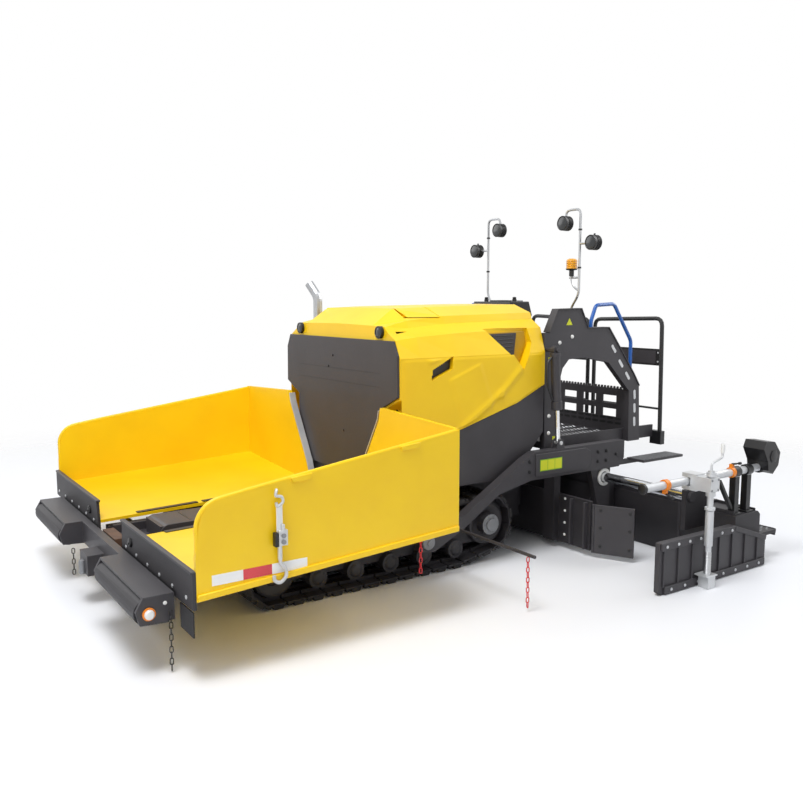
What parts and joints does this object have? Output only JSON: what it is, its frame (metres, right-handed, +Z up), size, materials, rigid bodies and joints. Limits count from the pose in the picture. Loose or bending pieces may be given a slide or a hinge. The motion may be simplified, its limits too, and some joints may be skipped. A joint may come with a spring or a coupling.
{
  "type": "asphalt paver",
  "caption": "Compact tracked road paver with a folding hopper, an operator platform, augers and a floating screed with sliding extensions.",
  "frame": {"origin": "centre of the bounding box at ground level", "axes": "+Z up, the machine drives towards -Y, its left side is +X"},
  "size_m": [4.43, 4.925, 2.811],
  "materials": {
    "yellow": "gloss machine enamel",
    "dark": "satin dark grey machine paint",
    "panel": "dark grey sheet panels",
    "steel": "bare and plated steel",
    "rubber": "black rubber and rail paint",
    "blue": "blue grab rail paint",
    "brown": "worn brown primer",
    "amber": "amber lens"
  },
  "bodies": {
    "chassis": {"main_frame": "dark", "conveyor": "panel", "engine": "steel", "hood": "yellow", "front_panel": "panel", "exhaust": "steel", "platform": "dark", "console": "panel", "beacon": "amber", "tow_bracket": "brown", "auger_wall": "dark", "side_body_left": "dark", "arch_left": "dark", "handrail_left": "blue", "light_pole_left": "steel", "rear_rail_left": "rubber", "track_left": "rubber", "track_frame_left": "dark", "side_body_right": "dark", "arch_right": "dark", "handrail_right": "blue", "light_pole_right": "steel", "rear_rail_right": "rubber", "track_right": "rubber", "track_frame_right": "dark"},
    "wing_left": {"wing_left": "yellow", "apron_left": "dark"},
    "wing_right": {"wing_right": "yellow", "apron_right": "dark"},
    "wing_ram_left_barrel": {"wing_ram_left_barrel": "dark"},
    "wing_ram_left_rod": {"wing_ram_left_rod": "steel"},
    "wing_ram_right_barrel": {"wing_ram_right_barrel": "dark"},
    "wing_ram_right_rod": {"wing_ram_right_rod": "steel"},
    "push_beam": {"push_beam": "dark"},
    "push_roller_left": {"push_roller_left": "dark"},
    "push_roller_right": {"push_roller_right": "dark"},
    "roof_hatch": {"roof_hatch": "yellow"},
    "auger_left": {"auger_left": "steel"},
    "auger_right": {"auger_right": "steel"},
    "side_flap_left": {"side_flap_left": "dark"},
    "side_flap_right": {"side_flap_right": "dark"},
    "screed": {"main_screed": "dark", "tow_arm_left": "dark", "tow_arm_right": "dark"},
    "lift_ram_left_barrel": {"lift_ram_left_barrel": "dark"},
    "lift_ram_left_rod": {"lift_ram_left_rod": "steel"},
    "lift_ram_right_barrel": {"lift_ram_right_barrel": "dark"},
    "lift_ram_right_rod": {"lift_ram_right_rod": "steel"},
    "extension_left": {"extension_left": "dark", "end_gate_left": "dark", "sensor_rail_left": "steel", "jack_left": "steel", "control_box_left": "panel"},
    "extension_right": {"extension_right": "dark", "end_gate_right": "dark", "sensor_rail_right": "steel", "jack_right": "steel", "control_box_right": "panel"}
  },
  "joints": [
    {"name": "wing_left_fold", "type": "hinge", "parent": "chassis", "child": "wing_left", "pos_m": [0.28, -2.2125, 0.47], "axis": [0, -1, 0], "range_deg": [0, 42]},
    {"name": "wing_ram_left_swing", "type": "hinge", "parent": "chassis", "child": "wing_ram_left_barrel", "pos_m": [0.38, -1.9125, 0.22], "axis": [0, -1, 0], "range_deg": [0, 37.69]},
    {"name": "wing_ram_left_stroke", "type": "slide", "parent": "wing_ram_left_barrel", "child": "wing_ram_left_rod", "axis": [0.9437, 0, 0.3307], "range_m": [0, 0.1865]},
    {"name": "wing_right_fold", "type": "hinge", "parent": "chassis", "child": "wing_right", "pos_m": [-0.28, -2.2125, 0.47], "axis": [0, 1, 0], "range_deg": [0, 42]},
    {"name": "wing_ram_right_swing", "type": "hinge", "parent": "chassis", "child": "wing_ram_right_barrel", "pos_m": [-0.38, -1.9125, 0.22], "axis": [0, 1, 0], "range_deg": [0, 37.69]},
    {"name": "wing_ram_right_stroke", "type": "slide", "parent": "wing_ram_right_barrel", "child": "wing_ram_right_rod", "axis": [-0.9437, 0, 0.3307], "range_m": [0, 0.1865]},
    {"name": "push_beam_rock", "type": "hinge", "parent": "chassis", "child": "push_beam", "pos_m": [0, -2.2125, 0.37], "axis": [0, 1, 0], "range_deg": [-3, 3]},
    {"name": "push_roller_left_spin", "type": "hinge", "parent": "push_beam", "child": "push_roller_left", "pos_m": [0.905, -2.3875, 0.35], "axis": [1, 0, 0], "continuous": true},
    {"name": "push_roller_right_spin", "type": "hinge", "parent": "push_beam", "child": "push_roller_right", "pos_m": [-0.905, -2.3875, 0.35], "axis": [1, 0, 0], "continuous": true},
    {"name": "roof_hatch_open", "type": "hinge", "parent": "chassis", "child": "roof_hatch", "pos_m": [0, 0.0515, 1.985], "axis": [-1, 0, 0], "range_deg": [0, 70]},
    {"name": "auger_left_spin", "type": "hinge", "parent": "chassis", "child": "auger_left", "pos_m": [0.5, 1.3325, 0.25], "axis": [1, 0, 0], "continuous": true},
    {"name": "auger_right_spin", "type": "hinge", "parent": "chassis", "child": "auger_right", "pos_m": [-0.5, 1.3325, 0.25], "axis": [1, 0, 0], "continuous": true},
    {"name": "screed_lift", "type": "hinge", "parent": "chassis", "child": "screed", "pos_m": [0, -0.2625, 0.3], "axis": [1, 0, 0], "range_deg": [0, 5.5]},
    {"name": "lift_ram_left_swing", "type": "hinge", "parent": "chassis", "child": "lift_ram_left_barrel", "pos_m": [0.94, 1.0025, 1.64], "axis": [1, 0, 0], "range_deg": [-5.17, 0]},
    {"name": "lift_ram_left_stroke", "type": "slide", "parent": "lift_ram_left_barrel", "child": "lift_ram_left_rod", "axis": [0, 0.0736, -0.9973], "range_m": [-0.1268, 0]},
    {"name": "lift_ram_right_swing", "type": "hinge", "parent": "chassis", "child": "lift_ram_right_barrel", "pos_m": [-0.94, 1.0025, 1.64], "axis": [1, 0, 0], "range_deg": [-5.17, 0]},
    {"name": "lift_ram_right_stroke", "type": "slide", "parent": "lift_ram_right_barrel", "child": "lift_ram_right_rod", "axis": [0, 0.0736, -0.9973], "range_m": [-0.1268, 0]},
    {"name": "extension_left_slide", "type": "slide", "parent": "screed", "child": "extension_left", "axis": [-1, 0, 0], "range_m": [0, 0.76]},
    {"name": "side_flap_left_fold", "type": "hinge", "parent": "chassis", "child": "side_flap_left", "pos_m": [1.235, 1.1725, 0], "axis": [0, 0, -1], "range_deg": [0, 117.2]},
    {"name": "extension_right_slide", "type": "slide", "parent": "screed", "child": "extension_right", "axis": [1, 0, 0], "range_m": [0, 0.76]},
    {"name": "side_flap_right_fold", "type": "hinge", "parent": "chassis", "child": "side_flap_right", "pos_m": [-1.235, 1.1725, 0], "axis": [0, 0, 1], "range_deg": [0, 117.2]}
  ],
  "couplings": [
    {"joint": "wing_ram_left_swing", "follows": "wing_left_fold", "ratio": 0.89032},
    {"joint": "wing_ram_left_stroke", "follows": "wing_left_fold", "m_per_rad": 0.25301},
    {"joint": "wing_ram_right_swing", "follows": "wing_right_fold", "ratio": 0.89032},
    {"joint": "wing_ram_right_stroke", "follows": "wing_right_fold", "m_per_rad": 0.25301},
    {"joint": "lift_ram_left_swing", "follows": "screed_lift", "ratio": -0.90359},
    {"joint": "lift_ram_left_stroke", "follows": "screed_lift", "m_per_rad": -1.31},
    {"joint": "lift_ram_right_swing", "follows": "screed_lift", "ratio": -0.90359},
    {"joint": "lift_ram_right_stroke", "follows": "screed_lift", "m_per_rad": -1.31},
    {"joint": "side_flap_left_fold", "follows": "extension_left_slide", "rad_per_m": 2.6869},
    {"joint": "side_flap_right_fold", "follows": "extension_right_slide", "rad_per_m": 2.6869}
  ]
}
